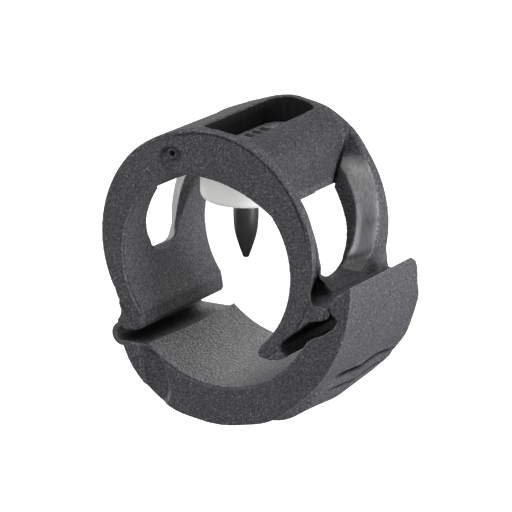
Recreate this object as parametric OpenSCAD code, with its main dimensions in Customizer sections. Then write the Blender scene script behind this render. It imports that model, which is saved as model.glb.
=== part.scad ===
// Hinged snap-fit ring clip that holds a fence tube, with a pointed locating peg.
// The tube axis runs along Y. The origin is the centre of the bore at mid-length.

/* [Ring] */
// Length of the clip along the tube
clip_len = 20.5; // [18:0.5:24]
// Radius of the bore
bore_r = 12.5; // [12.3:0.1:12.7]
// Radius of the ring's outer face
ring_r = 15.8; // [15.6:0.1:16]
// Height of the outer face's centre above the bore's centre
ring_rise = 2.5; // [2.3:0.05:2.6]
// Half width of the solid crown between the side windows
crown_half_w = 9.4; // [9:0.1:9.8]
// Radius of the crown's upper corners
crown_corner_r = 3.6; // [3:0.1:4.2]
// Radius of the flatter arc that thickens the ring under its crown
land_r = 18.9; // [18.5:0.1:19.3]

/* [Side windows] */
// Half width of a window where it meets the crown
window_top_w = 8.2; // [7.8:0.1:8.6]
// Radius of a window's rounded lower end
window_low_r = 4.7; // [4.4:0.1:5]
// Lowest point of a window
window_low_z = -2; // [-2.3:0.1:-1.6]
// Half width of the flared rim near its top
flare_top_w = 9; // [8.6:0.1:9.2]
// Half width of the flared rim at its bottom
flare_low_w = 6.2; // [5.8:0.1:6.6]
// Distance from the bore's centre line to where the flare starts
flare_x = 13.4; // [13.2:0.1:13.8]

/* [Top pocket] */
// Width of the pocket
pocket_w = 7.1; // [6.5:0.1:7.2]
// Length of the pocket
pocket_len = 19.1; // [18:0.1:19.2]
// Radius of the pocket's corners
pocket_corner_r = 2.4; // [1.5:0.1:3]
// Height of the pocket's floor
pocket_floor_z = 13.8; // [13.6:0.1:14.2]
// Offset of the pocket from the bore's centre line
pocket_x = 2; // [1.8:0.05:2.2]

/* [Peg] */
// Radius of the peg's shank
peg_r = 1.66; // [1.6:0.02:1.8]
// Radius of the peg's neck through the washer and the crown
neck_r = 1.4; // [1.2:0.1:1.5]
// Height of the peg's tip
peg_tip_z = -1.4; // [-2:0.1:-1]
// Thickness of the peg's head plate
head_t = 1; // [0.8:0.1:1.2]

/* [Washer] */
// Radius of the washer
washer_r = 5.95; // [5.5:0.05:6.2]
// Height of the washer's lower face
washer_low_z = 6.5; // [6.2:0.1:6.8]

/* [Jaw] */
// Radius of the jaw's outer face
jaw_r = 21.35; // [21.2:0.05:21.5]
// Radius of the swell under the fingers
swell_r = 10; // [9:0.5:12]
// Height of the swell above the jaw's outer face
swell_rise = 1.49; // [1.2:0.05:1.7]
// Radius of the jaw's inner face at the front
jaw_in_front_r = 15.15; // [15:0.05:15.3]
// Radius of the jaw's inner face at the rear
jaw_in_rear_r = 14.1; // [13.9:0.05:14.6]
// Height of the jaw's land beside the hinge
jaw_land_z = -12.05; // [-12.2:0.05:-11.9]
// Height of the finger tab's upper edge
tab_top_z = 0.14; // [-0.4:0.02:0.4]

/* [Hinge web] */
// Mean radius of the folded hinge web
web_r = 1.28; // [1.2:0.02:1.34]
// Thickness of the hinge web
web_t = 0.65; // [0.5:0.05:0.7]

/* [Hidden] */
$fn = 96;
eps = 0.02;
half_len = clip_len / 2;
big = 60;
web_x = -12.75;
web_z = -11.2;
flare_corner_r = 1.6;
flare_low_z = -2.7;
rim_x = 16;
rim_top_w = 9.6;
flare_step = 1.2;
washer_edge_r = 1.2;
flank_x = 13.4;
// The moulding's draft: the outer face leans this way along the tube.
draft = [1.4, 0, 0.7];
ring_mid = [-0.08, ring_rise];
land_mid = [-1.6, -7.3];
corner_x = crown_half_w - crown_corner_r;
function corner_z(side) = ring_rise + sqrt((ring_r - crown_corner_r) ^ 2 - (side * corner_x - ring_mid.x) ^ 2);
heel_r = 15.6;
heel_dir = -77;
heel_mid = (jaw_r - heel_r) * [cos(heel_dir), sin(heel_dir)];
fit_gap = 0.05;
split_in = [15.68, -7.36];
split_out = [19.335, -9.055];
swell_dir = -55;
swell_reach = jaw_r + swell_rise - swell_r;
groove_angles = [-40, -45.5, -51.5];
groove_depth = 0.45;
groove_w = 0.5;
groove_len = 13;

// Extrudes an outline drawn in X and Z over a stretch of Y.
module along_y(y0, y1) {
    translate([0, y1, 0]) rotate([90, 0, 0]) linear_extrude(y1 - y0) children();
}

// Extrudes an outline drawn in Y and Z over a stretch of X.
module along_x(x0, x1) {
    translate([x0, 0, 0]) rotate([90, 0, 90]) linear_extrude(x1 - x0) children();
}

// Solid with the pocket's rounded outline, smaller by a gap all round.
module pocket_shape(gap, z0, z1) {
    w = pocket_w - 2 * gap;
    len = pocket_len - 2 * gap;
    r = pocket_corner_r - gap;
    translate([pocket_x, 0, z0]) {
        for (x = [-1, 1], y = [-1, 1])
            translate([x * (w / 2 - r), y * (len / 2 - r), 0]) cylinder(r = r, h = z1 - z0);
        translate([-w / 2, r - len / 2, 0]) cube([w, len - 2 * r, z1 - z0]);
        translate([r - w / 2, -len / 2, 0]) cube([w - 2 * r, len, z1 - z0]);
    }
}

// Leg that carries the hinge web, with its rounded foot.
module leg_outline() {
    polygon([[-13.85, -4.9], [-13.6, -6.1], [-12.95, -8], [-13.05, -8.7], [-13.55, -9.5], [-13.3, -10.15],
             [-12.3, -10.5], [-10.8, -10.45], [-9.9, -10.1], [-9.65, -9.5], [-9.8, -8.6], [-10, -7.6], [-10, 2], [-13, 2]]);
}

// Latch side below the recess: hooked tooth on the outside, guiding foot on the inside.
module tooth_outline() {
    polygon([[10, -4.9], [10, 2], [15, 2], [15.6, -2.95], [17.75, -2.95], [18.3, -3.75], [17.95, -4.35],
             [17, -4.8], [15.25, -5.2], [14.1, -6.2], [12.6, -7.4], [11.4, -8.4], [10.95, -9.1], [11.15, -9.75],
             [11.8, -10.4], [11.2, -10.85], [9.4, -11.2], [8.1, -10.95], [7.8, -10.4], [8.3, -9.3]]);
}

// Full ring with its leg and latch side, open at the bottom, before its windows are cut.
module ring_blank() {
    difference() {
        union() {
            intersection() {
                rotate(draft) along_y(-big, big) translate(ring_mid) circle(ring_r);
                translate([-big, -half_len, -5]) cube([2 * big, clip_len, big]);
            }
            along_y(-half_len, half_len) leg_outline();
            along_y(-half_len, half_len) tooth_outline();
        }
        intersection() {
            along_y(-big, big) circle(bore_r);
            along_y(-big, big) translate(land_mid) circle(land_r);
        }
    }
}

// Solid crown between the side windows. Its rounded corners run into the ring's outer face.
module crown_outline() {
    for (side = [-1, 1]) {
        translate([min(0, side * crown_half_w), 0]) square([crown_half_w, corner_z(side)]);
        translate([side * corner_x, corner_z(side)]) circle(crown_corner_r);
    }
    polygon([ring_mid, 6 * [corner_x - ring_mid.x, corner_z(1) - ring_rise] + ring_mid,
             6 * [-corner_x - ring_mid.x, corner_z(-1) - ring_rise] + ring_mid]);
}

// Outline of a window where it passes through the flank, wide at the crown and round at its lower end.
module window_outline() {
    hull() {
        translate([0, window_low_z + window_low_r]) circle(window_low_r);
        polygon([[-window_top_w, 12.1], [window_top_w, 12.1], [rim_top_w, 15.2], [rim_top_w, 18], [-rim_top_w, 18],
                 [-rim_top_w, 15.2]]);
    }
}

// Outline of the flared rim.
module rim_outline() {
    for (y = [-1, 1] * (flare_low_w - flare_corner_r))
        translate([y, flare_low_z + flare_corner_r]) circle(flare_corner_r);
    polygon([[-flare_top_w, 9.5], [flare_top_w, 9.5], [rim_top_w, 18], [-rim_top_w, 18]]);
}

// Window in one flank: side is 1 for the latch flank and -1 for the hinge flank.
module window(side) {
    difference() {
        mirror([side < 0 ? 1 : 0, 0, 0]) {
            along_x(corner_x, flare_x) window_outline();
            hull() {
                along_x(flare_x - flare_step, flare_x) offset(delta = -flare_step / 2) window_outline();
                along_x(rim_x, rim_x + 1) rim_outline();
            }
        }
        rotate(draft) along_y(-big, big) crown_outline();
    }
}

module ring_body() {
    color("#46464a") difference() {
        ring_blank();
        for (side = [-1, 1]) window(side);
        // Blind slot beside the front flange, above the tooth.
        translate([flank_x, -9.8, -2.95]) cube([big, 4.8, 3.5]);
        // Pocket in the crown and the hole for the peg below it.
        pocket_shape(0, pocket_floor_z, big);
        translate([0, 0, 5]) cylinder(r = neck_r + fit_gap, h = 12);
    }
}

// Outline of the jaw with its finger tab, as one hook shape.
module jaw_outline() {
    difference() {
        union() {
            translate(heel_mid) circle(heel_r);
            intersection() {
                circle(jaw_r);
                polygon([[0, 0], big * [cos(heel_dir), sin(heel_dir)], [big, -big], [big, big], [0, big]]);
            }
        }
        // Room above the land, the bore and the slot under the tooth.
        polygon([[-big, jaw_land_z], [-8.45, jaw_land_z], [-6.2, -9.8], [6.5, -9.8], [7, -12.3], [10.5, -12.3],
                 [12.6, -11], [13.6, -9.8], [14.6, -8.5], [15.1, -7.8],
                 [15.7, -7.35], [17.3, -6.65], [18.7, -5.6], [19.2, -5], [19.4, -4.4], [19.1, -4.02], [18.65, -3.8],
                 [18.4, -3.45], [18.45, -2.6], [19, -1.25], [19.5, -0.4], [20.1, tab_top_z], [big, tab_top_z],
                 [big, big], [-big, big]]);
    }
}

// Whole jaw solid, from the hinge to the tab's edge.
module jaw_blank() {
    difference() {
        along_y(-half_len, half_len) jaw_outline();
        // Tapered inner face.
        translate([1.3, 0, -1]) rotate([-90, 0, 0])
            translate([0, 0, -half_len - eps])
                cylinder(r1 = jaw_in_front_r, r2 = jaw_in_rear_r, h = clip_len + 2 * eps);
        // Raked rear edge of the tab.
        along_x(12, big) polygon([[5.2, 1], [6.2, tab_top_z - 0.1], [7.1, -0.5], [7.7, -1.6], [8.1, -3], [8.9, -7.5],
                                  [9.6, -10.5], [half_len + 1, -12.5], [half_len + 1, 1]]);
    }
}

// Distance from the bore's centre line to the swell's crest at an angle.
function swell_at(angle) = swell_reach * cos(angle - swell_dir) + sqrt(swell_r ^ 2 - (swell_reach * sin(angle - swell_dir)) ^ 2);

// Barrel-shaped swell under the fingers.
module swell() {
    difference() {
        translate([swell_reach * cos(swell_dir), 0, swell_reach * sin(swell_dir)]) rotate([-90, 0, 0])
            rotate_extrude() polygon([[0, -9.7], [swell_r - 2, -9.7], [swell_r - 0.5, -7.7], [swell_r, 0.8],
                                      [swell_r - 0.7, half_len], [0, half_len]]);
        along_y(-big, big) circle(jaw_r - 1);
    }
}

// Grooves across the swell, with square ends.
module grip_grooves() {
    for (a = groove_angles)
        rotate([0, -a, 0]) translate([swell_at(a), 0, 0])
            cube([2 * groove_depth, groove_len, groove_w], center = true);
}

// Everything above the line where the tab starts to flex.
module tab_side() {
    slope = (split_out - split_in) * 4;
    along_y(-big, big) polygon([split_in - slope, split_out + slope, [big, big], [-big, big]]);
}

module locking_jaw() {
    color("#404044") difference() {
        union() {
            jaw_blank();
            swell();
        }
        tab_side();
        grip_grooves();
    }
}

module finger_tab() {
    color("#4a4a4e") intersection() {
        jaw_blank();
        intersection() {
            tab_side();
            translate([12, -big, -big]) cube([big, 2 * big, 2 * big]);
        }
    }
}

module living_hinge() {
    color("#38383c") along_y(-half_len, half_len) difference() {
        intersection() {
            translate([web_x, web_z]) difference() {
                circle(web_r + web_t / 2);
                circle(web_r - web_t / 2);
            }
            polygon([[web_x, web_z], [-14, -8.5], [-17, -8.5], [-17, -14], [-13.6, -14], [-12.9, jaw_land_z - 0.2]]);
        }
        leg_outline();
        jaw_outline();
    }
}

module seal_washer() {
    color("#f2f2ee") difference() {
        intersection() {
            translate([0, 0, washer_low_z]) rotate_extrude() union() {
                translate([washer_r - washer_edge_r, washer_edge_r]) circle(washer_edge_r);
                square([washer_r - washer_edge_r, 6]);
                translate([0, washer_edge_r]) square([washer_r, 6 - washer_edge_r]);
            }
            translate([land_mid.x, 0, land_mid.y]) rotate([90, 0, 0])
                cylinder(r = land_r, h = big, center = true);
            rotate([90, 0, 0]) cylinder(r = bore_r, h = big, center = true);
        }
        translate([0, 0, washer_low_z - 1]) cylinder(r = neck_r + fit_gap, h = 10);
    }
}

module pointed_peg() {
    color("#1c1c1e") {
        rotate_extrude() polygon([[0, peg_tip_z], [0.35, peg_tip_z + 0.08], [0.55, peg_tip_z + 0.4], [1, 0.5],
                                  [1.36, 2], [1.58, 3.2], [peg_r, 4], [0, 4]]);
        translate([0, 0, 4]) cylinder(r = peg_r, h = washer_low_z - 4);
        translate([0, 0, washer_low_z]) cylinder(r = neck_r, h = pocket_floor_z + head_t / 2 - washer_low_z);
        pocket_shape(fit_gap, pocket_floor_z, pocket_floor_z + head_t);
    }
}

ring_body();
locking_jaw();
finger_tab();
living_hinge();
seal_washer();
pointed_peg();
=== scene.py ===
import bmesh
import bpy
import math
import numpy as np
from mathutils import Matrix, Vector
from mathutils.bvhtree import BVHTree


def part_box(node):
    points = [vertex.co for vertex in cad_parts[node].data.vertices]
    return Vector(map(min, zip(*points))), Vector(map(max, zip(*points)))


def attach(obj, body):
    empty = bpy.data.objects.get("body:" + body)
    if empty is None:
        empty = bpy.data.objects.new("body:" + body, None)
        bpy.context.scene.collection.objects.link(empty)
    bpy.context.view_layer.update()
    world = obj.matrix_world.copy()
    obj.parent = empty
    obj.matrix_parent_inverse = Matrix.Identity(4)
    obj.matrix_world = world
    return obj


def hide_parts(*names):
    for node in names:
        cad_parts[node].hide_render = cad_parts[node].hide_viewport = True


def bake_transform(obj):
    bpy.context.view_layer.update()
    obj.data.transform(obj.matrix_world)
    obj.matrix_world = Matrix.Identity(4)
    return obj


# The hinged ring clip, in the CAD frame: the tube axis is Y and the origin is the bore's centre.
# Meshes are worked in millimetres and scaled to metres when a piece is finished.
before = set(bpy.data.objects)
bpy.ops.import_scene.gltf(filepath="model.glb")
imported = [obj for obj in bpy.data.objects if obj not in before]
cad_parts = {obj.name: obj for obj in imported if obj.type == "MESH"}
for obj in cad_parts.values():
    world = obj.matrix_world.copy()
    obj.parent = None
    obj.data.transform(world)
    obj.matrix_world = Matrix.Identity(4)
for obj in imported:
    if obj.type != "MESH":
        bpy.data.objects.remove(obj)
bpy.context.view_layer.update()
MM = 0.001

FRONT_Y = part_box("ring_body")[0].y / MM
BACK_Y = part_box("ring_body")[1].y / MM
BORE_R = 12.5
RING_MID = (-0.08, 2.5)
RING_R = 15.8
RING_LEAN = (-0.01222, 0.02444)
JAW_IN_MID = (1.3, -1.0)
JAW_IN_R = 15.15
POCKET_FLOOR = 13.8
POCKET_X = 2.0
FRONT_SKIN = 0.3        # how near the front face a vertex has to be to belong to it
LINE_BEHIND = 0.36      # fine grooves run this far behind the front face's edges
LINE_SHADE = 0.34       # the middle of the dark painted along them
LINE_DEPTH = 0.16
VOXEL = 0.14
HINGE_MID = Vector((-12.75, -11.2))


# ---------------------------------------------------------------- mesh helpers

def link(name, mesh):
    """A new object in the scene with this mesh."""
    obj = bpy.data.objects.new(name, mesh)
    bpy.context.scene.collection.objects.link(obj)
    return obj


def mesh_of(name, bm):
    """Turns a finished bmesh into a mesh."""
    mesh = bpy.data.meshes.new(name)
    bm.to_mesh(mesh)
    bm.free()
    return mesh


def node_copy(name, *nodes):
    """A new object in millimetres with the merged meshes of some CAD nodes."""
    bm = bmesh.new()
    for node in nodes:
        bm.from_mesh(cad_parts[node].data)
    bmesh.ops.remove_doubles(bm, verts=bm.verts, dist=0.000002)
    bmesh.ops.scale(bm, vec=(1 / MM,) * 3, verts=bm.verts)
    return link(name, mesh_of(name, bm))


def apply_modifiers(obj):
    """Replaces the object's mesh by the result of its modifiers."""
    graph = bpy.context.evaluated_depsgraph_get()
    mesh = bpy.data.meshes.new_from_object(obj.evaluated_get(graph))
    obj.modifiers.clear()
    obj.data = mesh


def soften(obj, voxel, rounds):
    """Remeshes a solid into fine even quads and rounds its edges, as a moulding's edges are."""
    remesh = obj.modifiers.new("remesh", "REMESH")
    remesh.mode = "VOXEL"
    remesh.voxel_size = voxel
    smooth = obj.modifiers.new("smooth", "SMOOTH")
    smooth.factor = 0.5
    smooth.iterations = rounds
    apply_modifiers(obj)


def bevel(obj, width, segments, angle):
    """Rounds the edges that turn by more than an angle in degrees."""
    rounding = obj.modifiers.new("bevel", "BEVEL")
    rounding.width = width
    rounding.segments = segments
    rounding.angle_limit = math.radians(angle)
    apply_modifiers(obj)


def extrude(bm, corners, height):
    """Adds a face through the given corners and raises a block on it."""
    face = bm.faces.new([bm.verts.new(corner) for corner in corners])
    lifted = bmesh.ops.extrude_face_region(bm, geom=[face])["geom"]
    verts = [g for g in lifted if isinstance(g, bmesh.types.BMVert)]
    bmesh.ops.translate(bm, vec=(0, 0, height), verts=verts)


def points_of(obj):
    """Vertex places, one row each."""
    points = np.empty(len(obj.data.vertices) * 3)
    obj.data.vertices.foreach_get("co", points)
    return points.reshape(-1, 3)


def set_points(obj, points):
    """Moves the vertices to these places."""
    obj.data.vertices.foreach_set("co", points.ravel())
    obj.data.update()


def push(points, dx, dz, out, amount):
    """Moves points away from a Y axis, given their offsets from it and their distance."""
    points[:, 0] += amount * dx / out
    points[:, 2] += amount * dz / out


def paint(obj, shade):
    """Stores each vertex's painted shade: below 1 in grooves and on shadowed walls, above 1 as painted
    highlights on the polish.
    """
    layer = obj.data.attributes.new("shade", "FLOAT", "POINT")
    layer.data.foreach_set("value", shade.astype(np.float32))


def finish_piece(obj, body, nodes):
    """Scales a piece to metres, shades it smooth and hands it to the frame."""
    obj.data.transform(Matrix.Scale(MM, 4))
    for polygon in obj.data.polygons:
        polygon.use_smooth = True
    if body:
        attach(obj, body)
    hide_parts(*nodes)


def bump_profile(t):
    """1 at 0, fading smoothly to 0 at -1 and 1."""
    return np.where(np.abs(t) < 1, np.cos(t * math.pi / 2) ** 2, 0)


def smooth_step(t):
    """0 up to 0, 1 from 1 on, smooth between."""
    t = np.clip(t, 0, 1)
    return t * t * (3 - 2 * t)


def span(value, low, high):
    """True strictly between two limits."""
    return (value > low) & (value < high)


def line_shade(y):
    """1 on the fine lines behind the front edges, fading to 0 beside them."""
    return bump_profile((y - FRONT_Y - LINE_SHADE) / 0.2)


# ---------------------------------------------------------------- materials

class Nodes:
    """Short way to build a material's node tree."""

    def __init__(self, name):
        self.material = bpy.data.materials.new(name)
        self.material.use_nodes = True
        self.tree = self.material.node_tree
        self.shader = self.tree.nodes["Principled BSDF"]
        self.place = self.tree.nodes.new("ShaderNodeTexCoord").outputs["Object"]

    def link(self, a, b):
        self.tree.links.new(a, b)

    def put(self, value, socket):
        """Sets a socket to a number or a colour, or links it."""
        if isinstance(value, (int, float)):
            socket.default_value = value
        elif isinstance(value, tuple):
            socket.default_value = (*value, 1)
        else:
            self.link(value, socket)

    def noise(self, size, detail=2, roughness=0.5, stretch=1.0):
        """Noise whose blotches are about size millimetres wide and longer in Z by the stretch."""
        node = self.tree.nodes.new("ShaderNodeTexNoise")
        node.inputs["Scale"].default_value = 1 / (size * MM)
        node.inputs["Detail"].default_value = detail
        node.inputs["Roughness"].default_value = roughness
        place = self.tree.nodes.new("ShaderNodeMapping")
        place.inputs["Scale"].default_value = (1, 1, 1 / stretch)
        self.link(self.place, place.inputs["Vector"])
        self.link(place.outputs["Vector"], node.inputs["Vector"])
        return node.outputs["Fac"]

    def ramp(self, value, *stops):
        """Maps a value through (place, grey or colour) stops."""
        node = self.tree.nodes.new("ShaderNodeValToRGB")
        ramp = node.color_ramp
        while len(ramp.elements) < len(stops):
            ramp.elements.new(1)
        for element, (place, tone) in zip(ramp.elements, stops):
            element.position = place
            element.color = (*tone, 1) if isinstance(tone, tuple) else (tone, tone, tone, 1)
        self.link(value, node.inputs["Fac"])
        return node.outputs["Color"]

    def math(self, kind, a, b):
        node = self.tree.nodes.new("ShaderNodeMath")
        node.operation = kind
        for socket, value in zip(node.inputs, (a, b)):
            self.put(value, socket)
        return node.outputs[0]

    def blend(self, kind, factor, a, b):
        """Mixes or multiplies two colours."""
        node = self.tree.nodes.new("ShaderNodeMix")
        node.data_type = "RGBA"
        node.blend_type = kind
        for name, value in (("Factor", factor), ("A", a), ("B", b)):
            self.put(value, [s for s in node.inputs if s.name == name and s.enabled][0])
        return [s for s in node.outputs if s.enabled][0]

    def bump(self, height, depth, strength=1.0, base=None):
        """Normals from a height, with the depth in millimetres, on top of a base."""
        node = self.tree.nodes.new("ShaderNodeBump")
        node.inputs["Distance"].default_value = depth * MM
        node.inputs["Strength"].default_value = strength
        self.link(height, node.inputs["Height"])
        if base is not None:
            self.link(base, node.inputs["Normal"])
        return node.outputs["Normal"]

    def edges(self, low, high):
        """0 on flat faces, 1 on convex edges."""
        geometry = self.tree.nodes.new("ShaderNodeNewGeometry")
        return self.ramp(geometry.outputs["Pointiness"], (low, 0), (high, 1))

    def painted(self, colour, gloss):
        """Multiplies a colour and the gloss by the mesh's painted shade."""
        shade = self.tree.nodes.new("ShaderNodeAttribute")
        shade.attribute_name = "shade"
        glossy = self.math("MULTIPLY", shade.outputs["Fac"], gloss)
        self.link(glossy, self.shader.inputs["Specular IOR Level"])
        return self.blend("MULTIPLY", 1.0, colour, shade.outputs["Fac"])

    def finish(self, colour, roughness, normal):
        """Connects the shader's three main inputs."""
        self.link(colour, self.shader.inputs["Base Color"])
        self.link(roughness, self.shader.inputs["Roughness"])
        self.link(normal, self.shader.inputs["Normal"])
        return self.material


def tones(tone, factor):
    """A colour made darker or lighter."""
    return tuple(factor * c for c in tone)


def painted_corner_shade(m, colour, reach, floor):
    """Darkens a colour in corners and narrow gaps: a painted shade where less light reaches."""
    node = m.tree.nodes.new("ShaderNodeAmbientOcclusion")
    node.inputs["Distance"].default_value = reach * MM
    node.samples = 6
    return m.blend("MULTIPLY", 1.0, colour, m.ramp(node.outputs["AO"], (0.15, floor), (0.75, 1)))


def grained_plastic(name, tone):
    """Spark-eroded charcoal nylon: fine pits, painted highlights as pale glints and on convex edges, and
    painted shade.
    """
    m = Nodes(name)
    patches = m.ramp(m.noise(6, 3), (0.3, tones(tone, 0.93)), (0.7, tones(tone, 1.07)))
    grain = m.noise(0.3, 2, 0.6)
    mottled = m.blend("MULTIPLY", 1.0, patches, m.ramp(grain, (0.36, 0.35), (0.64, 1.65)))
    # Painted highlights: pale glints scattered over the grain.
    painted_glints = m.ramp(m.noise(0.24, 1), (0.63, 0), (0.71, 1))
    painted_glint_colour = m.blend("MIX", m.math("MULTIPLY", painted_glints, 0.5), mottled, (0.3, 0.3, 0.32))
    # Painted highlight: convex edges lighter, as rounded edges catch the light.
    painted_edge_highlight = m.blend("MIX", m.math("MULTIPLY", m.edges(0.53, 0.6), 0.18), painted_glint_colour, (0.22, 0.22, 0.23))
    roughness = m.ramp(grain, (0.3, 0.62), (0.7, 0.4))
    normal = m.bump(grain, 0.12, 1.0, m.bump(m.noise(0.6, 2), 0.06, 0.6))
    return m.finish(painted_corner_shade(m, m.painted(painted_edge_highlight, 0.6), 3.5, 0.12), roughness, normal)


def polished_plastic(name, tone, roughness=0.26, streak=0.15, gloss=0.7, painted=False):
    """Smooth plastic, as a polished mould leaves it, with faint drag lines in Z."""
    m = Nodes(name)
    lines = m.noise(0.3, 4, 0.6, 20)
    colour = m.ramp(lines, (0.35, tones(tone, 1 - streak)), (0.65, tones(tone, 1 + streak)))
    rough = m.ramp(lines, (0.3, roughness - 0.04), (0.7, roughness + 0.08))
    normal = m.bump(lines, 0.003, 0.5)
    m.shader.inputs["Specular IOR Level"].default_value = gloss
    if painted:
        colour = m.painted(colour, gloss)
    return m.finish(painted_corner_shade(m, colour, 2.5, 0.3), rough, normal)


def matt_rubber(name):
    """Off-white satin elastomer. A little emission stands for the light it scatters."""
    m = Nodes(name)
    colour = m.ramp(m.noise(3, 3), (0.3, (0.86, 0.855, 0.83)), (0.7, (0.93, 0.925, 0.905)))
    normal = m.bump(m.noise(0.12, 2), 0.01, 0.5)
    m.shader.inputs["Subsurface Weight"].default_value = 0.15
    m.shader.inputs["Emission Color"].default_value = (1, 1, 0.97, 1)
    m.shader.inputs["Emission Strength"].default_value = 0.24
    m.shader.inputs["Subsurface Radius"].default_value = (0.8 * MM, 0.8 * MM, 0.7 * MM)
    return m.finish(colour, m.ramp(m.noise(0.7, 2), (0.3, 0.36), (0.7, 0.5)), normal)


def black_plastic(name, tone):
    """Unfilled black plastic of the peg, smooth with a few moulding streaks."""
    m = Nodes(name)
    colour = m.ramp(m.noise(1.5, 4), (0.3, tones(tone, 0.8)), (0.7, tones(tone, 1.3)))
    rough = m.ramp(m.noise(0.6, 3), (0.3, 0.37), (0.7, 0.52))
    return m.finish(colour, rough, m.bump(m.noise(0.25, 3), 0.008, 0.5))


GRAINED = grained_plastic("grained_charcoal", (0.041, 0.041, 0.046))
# Polished flares: the polish is real, but their tone, lighter than the grained charcoal's, is painted light
# for their reflection.
POLISHED_AND_PAINTED_LIGHT = polished_plastic("polished_charcoal_painted_light", (0.105, 0.105, 0.107), 0.34, 0.3, 0.7, True)
# Painted shade: a darker copy of the charcoal for the pocket's shadowed walls.
POCKET_PAINTED_SHADE = polished_plastic("pocket_charcoal_painted_shade", (0.014, 0.014, 0.015), 0.6, 0.3, 0.12)
HINGE_SMOOTH = polished_plastic("hinge_charcoal", (0.06, 0.06, 0.064), 0.38)
RUBBER = matt_rubber("washer_rubber")
PEG_BLACK = black_plastic("peg_black", (0.026, 0.026, 0.028))
PLATE_GREY = polished_plastic("plate_grey", (0.32, 0.32, 0.335), 0.25, 0.2)


# ---------------------------------------------------------------- ring

def ring_outside(points):
    """Offsets from the leaning axis of the ring's outer face, and the distance from it."""
    x, y, z = points.T
    dx = x - RING_MID[0] - RING_LEAN[0] * y
    dz = z - RING_MID[1] - RING_LEAN[1] * y
    return dx, dz, np.hypot(dx, dz)


def gate_mark(points):
    """Shallow round dimple with a small raised eye where the plastic was injected. Returns a painted shade,
    dark in the eye and around the dimple's border.
    """
    front = points[:, 1] < FRONT_Y + FRONT_SKIN
    away = np.hypot(points[:, 0] + 5.03, points[:, 2] - 13.39)
    eye = np.hypot(points[:, 0] + 4.95, points[:, 2] - 14.03)
    depth = 0.34 * np.clip((1.75 - away) / 0.5, 0, 1)
    depth = depth - 0.36 * bump_profile((eye - 0.58) / 0.24) + 0.6 * bump_profile(eye / 0.42)
    points[:, 1] += np.where(front, depth, 0)
    return 1 - front * np.maximum(0.85 * bump_profile(eye / 0.5), 0.4 * bump_profile((away - 1.55) / 0.4))


def chamfer(points, dx, dz, out, radius, width):
    """Bevels the front edge of an outer face of the given radius."""
    inward = radius - out
    back = points[:, 1] - FRONT_Y
    shift = np.clip(width - inward - back, 0, 1) / 2 * (inward > -0.4) * (back < 2)
    push(points, dx, dz, out, -shift)
    points[:, 1] += shift


def edge_line(points, dx, dz, out, radius):
    """Fine groove around a hollow cylindrical face, a little behind the front edge."""
    near = np.abs(out - radius) < 0.5
    push(points, dx, dz, out, LINE_DEPTH * bump_profile((points[:, 1] - FRONT_Y - LINE_BEHIND) / 0.2) * near)


def flare_start(z):
    """Distance from the bore's axis at which the polished flare begins, by height."""
    return np.interp(z, (-2.7, -0.8, 1.5, 3.9, 6.3), (12.9, 13.1, 13.6, 14.05, 14.45))


def flare_top(radius):
    """Height at which the flare ends, a little higher further out."""
    return 11.4 + 0.2 * (radius - 14.4)


def window_shade(points, radius, out, share):
    """Painted shade of the windows' shadowed plain walls, painted highlights and shade on the flares, and a
    mask true on the flares.
    """
    x, y, z = points.T
    # Painted shade on the throat walls and on the walls above the flares, which lie in shadow.
    throat_wall = np.clip((flare_start(z) - radius) / 0.25, 0, 1)
    throat_wall = throat_wall * np.clip((radius - BORE_R - 0.05) / 0.2, 0, 1)
    top_wall = np.clip((z - flare_top(radius) + 0.2) / 0.8, 0, 1)
    top_wall = top_wall * np.clip((RING_R - 0.2 - out) / 0.3, 0, 1)
    walls = 1 - 0.5 * np.maximum(throat_wall, top_wall * np.clip((15.8 - np.abs(x)) / 4, 0, 1))
    walls = np.where(np.abs(x) > 9.75, walls, 1)
    # Painted highlights and shade for the flares' reflections: bright near the top, dark low down, brightest
    # on the left flare.
    flare_painted_light = np.interp(z, (-1, 1, 4, 6.5, 9, 10, 10.8, 11.6), (0.9, 0.4, 0.4, 0.95, 1.3, 1.7, 1.3, 0.7))
    edge_painted_light = np.interp(z, (4, 9, 11.4), (1.1, 1.2, 0.7))
    flare_painted_light = edge_painted_light + (flare_painted_light - edge_painted_light) * smooth_step((share - 0.1) / 0.25)
    flare_painted_light = np.where(x > 0, flare_painted_light, 2.2)
    flare = (share > 0.02) & (np.abs(x) > 9.9) & (out < RING_R - 0.1)
    flare &= (z > -3) & (z < flare_top(radius)) & span(np.abs(y), 2.5, 9.7)
    return walls, np.where(flare, flare_painted_light, 1), flare


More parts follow.
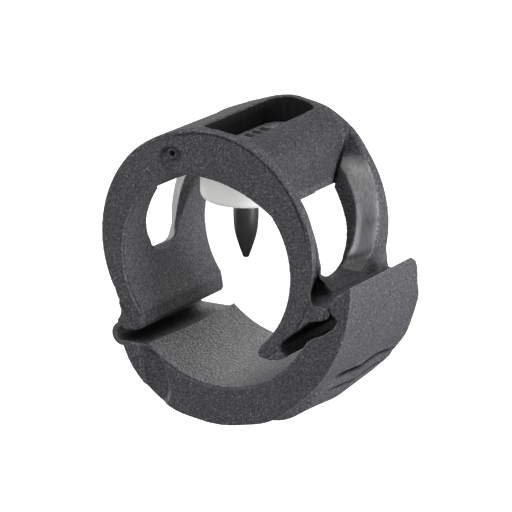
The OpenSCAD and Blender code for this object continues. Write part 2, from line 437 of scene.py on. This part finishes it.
def shape_windows(obj, points):
    """Pulls each window's walls to a waisted section: a narrow throat, then a flare to the rim."""
    mesh = obj.data
    tree = BVHTree.FromPolygons([v.co for v in mesh.vertices], [p.vertices for p in mesh.polygons])
    x, y, z = points.T.copy()
    radius = np.hypot(x, z)
    out = ring_outside(points)[2]
    throat = np.interp(z, (-2, -1, 1.3, 3.4, 5.8, 8.3, 11), (2, 2.8, 4.3, 5.1, 5.5, 6.1, 6.9))
    waist = np.interp(z, (-0.8, 1.5, 3.9, 6.3, 9.1, 11, 15), (3, 4.4, 5.2, 5.85, 6.9, 7.5, 9))
    rim = np.interp(z, (-1.5, 2.4, 5.4, 8.7, 12, 15), (6.3, 7.15, 7.95, 8.6, 9, 9.7))
    front_rim = np.interp(z, (0.5, 3, 8.7, 15), (9.5, 9.2, 9, 9.6))
    rim = np.where((y < 0) & (x > 0), front_rim, rim)
    start = flare_start(z)
    inside = throat + (waist - throat) * np.clip((radius - BORE_R) / (start - BORE_R), 0, 1)
    beyond = np.clip(radius - start, 0, 9)
    share = beyond / (beyond + np.clip(RING_R - out, 0.001, 9))
    target = inside + (rim - waist) * share
    fade = smooth_step((z + 1.6) / 1.6) * smooth_step((np.abs(x) - 9.3) / 0.5) * (z < 15)
    wall_shade, shade, flare = window_shade(points, radius, out, share)
    # The walls are looked for a little inside the skin, where the rounded edges don't mislead.
    inset = (np.clip(BORE_R + 0.3 - radius, 0, 1) - np.clip(out - RING_R + 0.35, 0, 1)) / radius
    for k in np.nonzero(fade > 0)[0]:
        side = 1 if y[k] > 0 else -1
        spot = Vector((x[k] * (1 + inset[k]), 0, z[k] * (1 + inset[k])))
        hit = tree.ray_cast(spot, Vector((0, side, 0)))[0]
        if hit is None or abs(hit.y) < 1 or abs(hit.y) > 10:
            continue
        wall = abs(hit.y)
        # Vertices on a plain wall take its painted shade.
        if abs(wall - abs(y[k])) < 0.3 and not flare[k]:
            shade[k] = wall_shade[k]
        goal = wall + (target[k] - wall) * fade[k]
        depth = abs(y[k])
        if depth < wall:
            moved = depth * goal / wall
        else:
            moved = goal + (depth - wall) * (BACK_Y - goal) / (BACK_Y - wall)
        points[k, 1] = side * moved
    return shade


def lower_crown(points, dx, dz, out):
    """The crown falls slightly towards the rear on its hinge side and swells on the other."""
    turn = np.degrees(np.arctan2(dz, dx))
    along = (points[:, 1] - FRONT_Y) / (BACK_Y - FRONT_Y)
    fall = 0.85 * (0.25 + 0.75 * along) * smooth_step((turn - 80) / 27) * smooth_step((138 - turn) / 26)
    rise = 0.32 * along * smooth_step((turn - 34) / 16) * smooth_step((78 - turn) / 14)
    push(points, dx, dz, out, (rise - fall) * smooth_step((out - 13.2) / 1.5))


def relax(obj, chosen, rounds):
    """Smooths the chosen vertices only."""
    bm = bmesh.new()
    bm.from_mesh(obj.data)
    bm.verts.ensure_lookup_table()
    verts = [bm.verts[k] for k in np.nonzero(chosen)[0]]
    for _ in range(rounds):
        bmesh.ops.smooth_vert(bm, verts=verts, factor=0.5, use_axis_x=True, use_axis_y=True, use_axis_z=True)
    bm.to_mesh(obj.data)
    bm.free()


def smooth_window_edges(ring):
    """Evens out the crown's shoulders beside the windows, before the windows are shaped."""
    points = points_of(ring)
    wide = span(np.abs(points[:, 0]), 6, 10.5)
    relax(ring, wide & (points[:, 2] > 14) & (np.abs(points[:, 1]) < 9.6), 14)


def smooth_flare_rims(ring):
    """Evens out the rims of the flares, where stretched faces leave a ragged edge."""
    points = points_of(ring)
    x, y, z = points.T
    rim = (np.abs(x) > 9.6) & (ring_outside(points)[2] > RING_R - 0.8)
    relax(ring, rim & span(np.abs(y), 5, 9.8) & span(z, -1, 13), 10)


def ring_shade(points, turn, out, bevel_width):
    """Painted shade of the fine lines, the latch slot, the leg's inside and the crown's right side: darker on
    lines, slot and crown, lighter inside the leg.
    """
    x, y, z = points.T
    radius = np.hypot(x, z)
    rim_line = bump_profile((out - RING_R + 0.66) / 0.24) * (y < FRONT_Y + FRONT_SKIN)
    rim_line = rim_line * np.clip(bevel_width * 4, 0, 1)
    bore_line = line_shade(y) * (np.abs(radius - BORE_R) < 0.4)
    slot = span(y, -9.7, -5.05) & span(z, -2.9, 0.5) & (x > 13.2)
    shade = (1 - 0.75 * rim_line) * (1 - 0.75 * bore_line) * np.where(slot, 0.3, 1)
    shade = shade * np.where((radius < BORE_R + 0.25) & (x < -6), 1.4, 1)
    crown = (z > 9) & span(x, 0, 12.2) & (radius > BORE_R + 0.6)
    crown = crown * smooth_step((82 - turn) / 24) * smooth_step((9.8 - np.abs(y)) / 1.5)
    return shade, crown


def ring_materials(obj, points):
    """Gives the faces of the flares polish with a painted light tone, and those of the pocket a darker
    plastic as painted shade.
    """
    obj.data.materials.clear()
    for material in (GRAINED, POLISHED_AND_PAINTED_LIGHT, POCKET_PAINTED_SHADE):
        obj.data.materials.append(material)
    polygons = obj.data.polygons
    normals = np.empty(len(polygons) * 3)
    polygons.foreach_get("normal", normals)
    normals = normals.reshape(-1, 3)
    corners = np.empty(len(polygons) * 4, np.int64)
    polygons.foreach_get("vertices", corners)
    centres = points[corners.reshape(-1, 4)].mean(axis=1)
    x, y, z = centres.T
    out = ring_outside(centres)[2]
    radius = np.hypot(x, z)
    flare = (radius > flare_start(z)) & (out < RING_R - 0.14) & (np.abs(x) > 9.9) & (np.abs(y) < 9.85)
    flare &= (z > -3) & (z < flare_top(radius))
    flare &= (np.abs(normals[:, 1]) > 0.25) & ((normals[:, 2] < 0.6) | (y > 2.5))
    flare &= ~((y < -4.9) & (z < 0.7) & (x > 0))
    flare &= (y > 0) | (x < 0) | (out < RING_R - 1)
    pocket = (np.abs(x - POCKET_X) < 3.75) & (np.abs(y) < 9.75)
    pocket &= (z > POCKET_FLOOR + 0.2) & (out < RING_R - 0.25)
    polygons.foreach_set("material_index", np.where(pocket, 2, flare).astype(np.int32))


def ring_shell():
    """The ring, with shaped windows, a bevelled front rim, fine lines, a gate mark and painted shade on its
    vertices.
    """
    ring = node_copy("ring_shell", "ring_body")
    soften(ring, VOXEL, 4)
    smooth_window_edges(ring)
    points = points_of(ring)
    shade = shape_windows(ring, points)
    set_points(ring, points)
    smooth_flare_rims(ring)
    points = points_of(ring)
    dx, dz, out = ring_outside(points)
    turn = np.degrees(np.arctan2(dz, dx))
    bevel_width = 0.5 * np.clip((turn - 10) / 20, 0, 1) * np.clip((115 - turn) / 25, 0, 1)
    chamfer(points, dx, dz, out, RING_R, bevel_width)
    before_line = points.copy()
    x, _, z = before_line.T
    edge_line(points, x, z, np.hypot(x, z), BORE_R)
    lines, crown = ring_shade(before_line, turn, out, bevel_width)
    shade = shade * lines * gate_mark(points)
    # Painted shade: the crown's right side darker by up to 30 %.
    shade = shade * (1 - 0.3 * crown * (shade == 1))
    flat_crown = points.copy()
    lower_crown(points, dx, dz, out)
    set_points(ring, points)
    paint(ring, shade)
    ring_materials(ring, flat_crown)
    finish_piece(ring, "ring", ["ring_body"])


# ---------------------------------------------------------------- jaw and tab

def front_scoop(points):
    """Smooth shallow hollow on the jaw's front face, below the hinge."""
    along = Vector((0.42, -0.907))
    x = points[:, 0] + 7.65
    z = points[:, 2] + 15.95
    u = (x * along.x + z * along.y) / 3.1
    v = (x * -along.y + z * along.x) / 1.55
    depth = 0.42 * np.clip(1.25 - np.hypot(u, v), 0, 0.25) / 0.25
    points[:, 1] += np.where(points[:, 1] < FRONT_Y + FRONT_SKIN, depth, 0)


def grip_lines(points):
    """Three tapered grooves along the swell under the fingers, with a painted shade that darkens them."""
    x, y, z = points.T
    radius = np.hypot(x, z)
    turn = np.degrees(np.arctan2(z, x))
    reach = smooth_step((y + 6.5) / 4) * smooth_step((10.2 - y) / 2.5) * smooth_step((radius - 20.3) / 0.6)
    sink = sum(bump_profile((turn - middle) / 1.5) for middle in (-40, -45.5, -51.5))
    push(points, x, z, radius, -(0.55 * sink * reach))
    return 1 - 0.9 * np.clip(1.6 * sink, 0, 1) * reach


def shape_jaw(points):
    """Fuller heel and lower front edge, a rounder rear edge on the tab and a tab top that slopes inwards."""
    x, y, z = points.T
    radius = np.hypot(x, z)
    turn = np.degrees(np.arctan2(z, x))
    heel = 0.4 * smooth_step((-92 - turn) / 14) * smooth_step((turn + 140) / 16)
    heel = heel * smooth_step((radius - 15.5) / 3)
    push(points, x, z, radius, heel)
    fill = 0.32 * bump_profile((turn + 64) / 13) * smooth_step((-3 - y) / 6) * smooth_step((radius - 18) / 2)
    push(points, x, z, radius, fill)
    rake = smooth_step((-3 - z) / 3.5) * smooth_step((z + 17) / 3) * (x > 13)
    points[:, 1] = np.minimum(y + 1.1 * rake * smooth_step((y - 5) / 3), BACK_Y)
    corner = 0.4 * smooth_step((-24 - turn) / 10) * smooth_step((turn + 50) / 8)
    corner = corner * smooth_step((radius - 20) / 1.3) * smooth_step((y - 6) / 4)
    push(points, x, z, radius, corner)
    slope = np.clip((21.05 - radius) / 1.1, 0, 1) * smooth_step((z + 1.5) / 1.5) * (x > 18)
    points[:, 2] -= 0.95 * slope


def jaw_shell():
    """Jaw and finger tab in one skin."""
    jaw = node_copy("jaw_shell", "locking_jaw", "finger_tab")
    soften(jaw, VOXEL, 4)
    points = points_of(jaw)
    dx = points[:, 0] - JAW_IN_MID[0]
    dz = points[:, 2] - JAW_IN_MID[1]
    radius = np.hypot(dx, dz)
    edge_line(points, dx, dz, radius, JAW_IN_R)
    front_scoop(points)
    # Painted shade: dark along the grip grooves and the fine line inside the front edge.
    lip = line_shade(points[:, 1]) * (np.abs(radius - JAW_IN_R) < 0.4)
    shade = grip_lines(points) * (1 - 0.6 * lip)
    shape_jaw(points)
    set_points(jaw, points)
    paint(jaw, shade)
    jaw.data.materials.clear()
    jaw.data.materials.append(GRAINED)
    finish_piece(jaw, None, ["locking_jaw", "finger_tab"])
    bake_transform(jaw)
    return jaw


# ---------------------------------------------------------------- hinge web

def hinge_strip():
    """Thin folded strip, a C in section, from inside the leg's foot to inside the jaw's corner."""
    radius = 1.28
    thick = 0.65
    steps = 28
    first, last = math.radians(102), math.radians(292)
    bm = bmesh.new()
    rows = []
    for i in range(steps + 1):
        turn = first + (last - first) * i / steps
        direction = Vector((math.cos(turn), math.sin(turn)))
        row = []
        for side in (-0.5, 0.5):
            spot = HINGE_MID + direction * (radius + side * thick)
            for y in (FRONT_Y, BACK_Y):
                row.append(bm.verts.new((spot.x, y, spot.y)))
        rows.append(row)
    for a, b in zip(rows, rows[1:]):
        for p, q in ((0, 1), (1, 3), (3, 2), (2, 0)):
            bm.faces.new((a[p], a[q], b[q], b[p]))
    bm.faces.new((rows[0][0], rows[0][2], rows[0][3], rows[0][1]))
    bm.faces.new((rows[-1][0], rows[-1][1], rows[-1][3], rows[-1][2]))
    bmesh.ops.recalc_face_normals(bm, faces=bm.faces)
    strip = link("hinge_strip", mesh_of("hinge_strip", bm))
    bevel(strip, 0.14, 3, 40)
    strip.data.materials.append(HINGE_SMOOTH)
    finish_piece(strip, None, ["living_hinge"])
    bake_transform(strip)


# ---------------------------------------------------------------- washer and peg

def washer_shell():
    """The washer, with rounder edges."""
    washer = node_copy("washer_shell", "seal_washer")
    soften(washer, 0.12, 5)
    washer.data.materials.clear()
    washer.data.materials.append(RUBBER)
    finish_piece(washer, "ring", ["seal_washer"])


def lathe(name, profile, segments=72):
    """Turns (radius, height) points about the Z axis. The first and last points lie on the axis."""
    bm = bmesh.new()
    rings = []
    for radius, height in profile:
        if radius < 1e-6:
            rings.append([bm.verts.new((0, 0, height))] * segments)
            continue
        turn = 2 * math.pi / segments
        rings.append([bm.verts.new((radius * math.cos(k * turn), radius * math.sin(k * turn), height))
                      for k in range(segments)])
    for low, high in zip(rings, rings[1:]):
        for k in range(segments):
            corners = [low[k], low[(k + 1) % segments], high[(k + 1) % segments], high[k]]
            bm.faces.new(list(dict.fromkeys(corners)))
    bmesh.ops.recalc_face_normals(bm, faces=bm.faces)
    return link(name, mesh_of(name, bm))


def peg_shank():
    """Turned peg, from its point up through the washer and the crown to the head plate."""
    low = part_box("pointed_peg")[0]
    radius = -low.x / MM
    tip = low.z / MM
    washer_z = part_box("seal_washer")[0].z / MM
    neck = 1.4
    point = [(0, 0), (0.28, 0.01), (0.4, 0.1), (0.47, 0.3), (0.8, 1.2), (1.13, 2.2)]
    point += [(1.36, 3), (1.52, 3.8), (1.61, 4.6), (radius, 5.6)]
    profile = [(r, tip + up) for r, up in point]
    profile += [(radius, 5.2), (radius, washer_z - 0.12), (radius - 0.12, washer_z)]
    profile += [(neck, washer_z + 0.02), (neck, POCKET_FLOOR + 0.3), (0, POCKET_FLOOR + 0.3)]
    shank = lathe("peg_shank", profile)
    shank.data.materials.append(PEG_BLACK)
    finish_piece(shank, "ring", ["pointed_peg"])


def plate_outline(half_w, half_l, corner, steps=10):
    """Rounded rectangle about the origin, counterclockwise."""
    spots = []
    for sx, sy, start in ((1, 1, 0), (-1, 1, 90), (-1, -1, 180), (1, -1, 270)):
        for k in range(steps + 1):
            turn = math.radians(start + 90 * k / steps)
            spots.append((sx * (half_w - corner) + corner * math.cos(turn),
                          sy * (half_l - corner) + corner * math.sin(turn)))
    return spots


def peg_head():
    """Smooth plate on the pocket's floor, with the peg moulded to its underside."""
    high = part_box("pointed_peg")[1]
    outline = plate_outline(high.x / MM - POCKET_X, high.y / MM, 2.35)
    bm = bmesh.new()
    extrude(bm, [(x + POCKET_X, y, POCKET_FLOOR) for x, y in outline], high.z / MM - POCKET_FLOOR)
    bmesh.ops.recalc_face_normals(bm, faces=bm.faces)
    plate = link("peg_head", mesh_of("peg_head", bm))
    bevel(plate, 0.15, 3, 50)
    plate.data.materials.append(PLATE_GREY)
    finish_piece(plate, "ring", ["pointed_peg"])


def head_marks():
    """Three plain raised bars on the plate, a generic orientation mark."""
    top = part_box("pointed_peg")[1].z / MM
    bm = bmesh.new()
    for y_mid in (0.4, 2.3, 4.2):
        outline = plate_outline(1.5, 0.45, 0.4, 6)
        extrude(bm, [(x + 1.2, y + y_mid, top - 0.2) for x, y in outline], 0.42)
    bmesh.ops.recalc_face_normals(bm, faces=bm.faces)
    marks = link("head_marks", mesh_of("head_marks", bm))
    bevel(marks, 0.1, 2, 50)
    marks.data.materials.append(PEG_BLACK)
    marks.data.transform(Matrix.Scale(MM, 4))
    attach(marks, "ring")


ring_shell()
jaw = jaw_shell()
hinge_strip()
washer_shell()
peg_shank()
peg_head()
head_marks()


# ---------------------------------------------------------------- camera, floor and light

def view_axes(azimuth, elevation):
    """Unit vectors towards the camera, to its right and up, for a view in degrees."""
    az, el = math.radians(azimuth), math.radians(elevation)
    back = Vector((math.sin(az) * math.cos(el), -math.cos(az) * math.cos(el), math.sin(el)))
    right = Vector((math.cos(az), math.sin(az), 0))
    return back, right, back.cross(right)


def view_matrix(axes, spot):
    """Placement at a spot, looking along the view."""
    back, right, up = axes
    return Matrix.Translation(spot) @ Matrix((right, up, back)).transposed().to_4x4()


def add_camera():
    """Long lens at the photograph's angle."""
    axes = view_axes(30.75, 16.25)
    back, right, up = axes
    data = bpy.data.cameras.new("camera")
    data.lens = 228.5
    data.sensor_width = 36
    data.clip_start = 0.01
    data.clip_end = 10
    camera = link("camera", data)
    camera.matrix_world = view_matrix(axes, back * 0.4237 + right * 0.0013 - up * 0.00125)
    bpy.context.scene.camera = camera


def add_softbox(name, azimuth, elevation, distance, size, power, tint=(1, 1, 1), only=()):
    """Rectangular light aimed at the origin. It lights everything, or only some objects."""
    axes = view_axes(azimuth, elevation)
    data = bpy.data.lights.new(name, "AREA")
    data.shape = "RECTANGLE"
    data.size, data.size_y = size
    data.energy = power
    data.color = tint
    light = link(name, data)
    light.matrix_world = view_matrix(axes, axes[0] * distance)
    if only:
        lit = bpy.data.collections.new(name + "_lit")
        for obj in only:
            lit.objects.link(obj)
        light.light_linking.receiver_collection = lit


def add_floor():
    """Pale floor, low enough for the open jaw to clear. The light from below passes it."""
    bm = bmesh.new()
    bmesh.ops.create_grid(bm, x_segments=8, y_segments=8, size=3)
    floor = link("floor", mesh_of("floor", bm))
    floor.location.z = -0.055
    m = Nodes("floor_white")
    shader = m.shader
    shader.inputs["Base Color"].default_value = (0.9, 0.9, 0.9, 1)
    shader.inputs["Roughness"].default_value = 0.9
    shader.inputs["Emission Color"].default_value = (1, 1, 1, 1)
    shader.inputs["Emission Strength"].default_value = 0.75
    floor.data.materials.append(m.material)
    floor.visible_diffuse = False
    floor.visible_glossy = False
    floor.visible_shadow = False


def add_world():
    """White where the camera sees it. For the object, a soft sky that is darker below."""
    world = bpy.data.worlds.new("studio")
    world.use_nodes = True
    tree = world.node_tree
    bpy.context.scene.world = world
    place = tree.nodes.new("ShaderNodeTexCoord")
    split = tree.nodes.new("ShaderNodeSeparateXYZ")
    ramp = tree.nodes.new("ShaderNodeMapRange")
    ramp.inputs["From Min"].default_value = -0.6
    ramp.inputs["From Max"].default_value = 1
    ramp.inputs["To Min"].default_value = 0.3
    ramp.inputs["To Max"].default_value = 0.8
    path = tree.nodes.new("ShaderNodeLightPath")
    mix = tree.nodes.new("ShaderNodeMix")
    mix.inputs["B"].default_value = 1.0
    tree.links.new(place.outputs["Generated"], split.inputs[0])
    tree.links.new(split.outputs["Z"], ramp.inputs["Value"])
    tree.links.new(ramp.outputs[0], mix.inputs["A"])
    tree.links.new(path.outputs["Is Camera Ray"], mix.inputs["Factor"])
    tree.links.new(mix.outputs[0], tree.nodes["Background"].inputs["Strength"])
    tree.nodes["Background"].inputs["Color"].default_value = (1, 1, 1, 1)


add_camera()
add_floor()
add_world()
add_softbox("key", 92, -8, 0.6, (0.4, 0.4), 6, (0.97, 0.97, 1))
add_softbox("left", -80, 4, 0.6, (0.3, 0.4), 1.6)
add_softbox("top", -20, 58, 0.65, (0.4, 0.4), 1.2)
add_softbox("back", 190, 26, 0.6, (0.5, 0.3), 1.6, only=(jaw,))
bpy.context.scene.view_settings.view_transform = "Standard"
